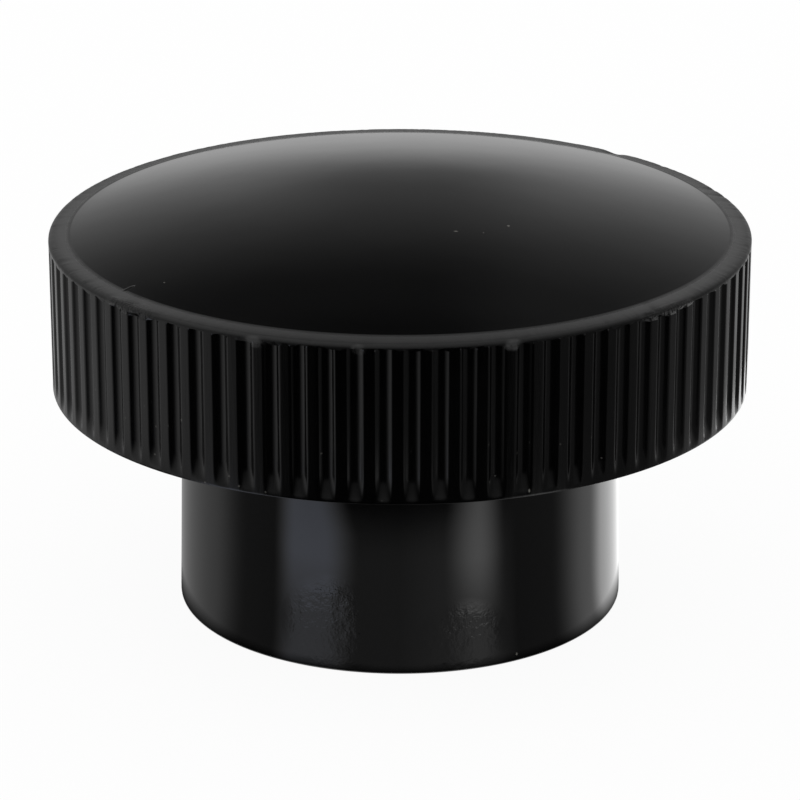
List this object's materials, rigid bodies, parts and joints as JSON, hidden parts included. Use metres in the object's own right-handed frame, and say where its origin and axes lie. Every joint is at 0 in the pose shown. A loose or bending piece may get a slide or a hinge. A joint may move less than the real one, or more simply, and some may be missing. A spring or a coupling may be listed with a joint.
{
  "type": "knurled knob",
  "caption": "Round hand knob with a low dome, a fluted rim and a plain hub that holds a blind threaded bush.",
  "frame": {"origin": "centre of the hub's end face, on which the knob stands", "axes": "+Z along the knob's axis, from the hub to the dome"},
  "size_m": [0.05, 0.05, 0.0309],
  "materials": {
    "moulding": "glossy black phenolic moulding",
    "bush_brass": "turned brass, slightly dull"
  },
  "bodies": {
    "root": {"knob_body": "moulding", "threaded_bush": "bush_brass"}
  },
  "joints": []
}
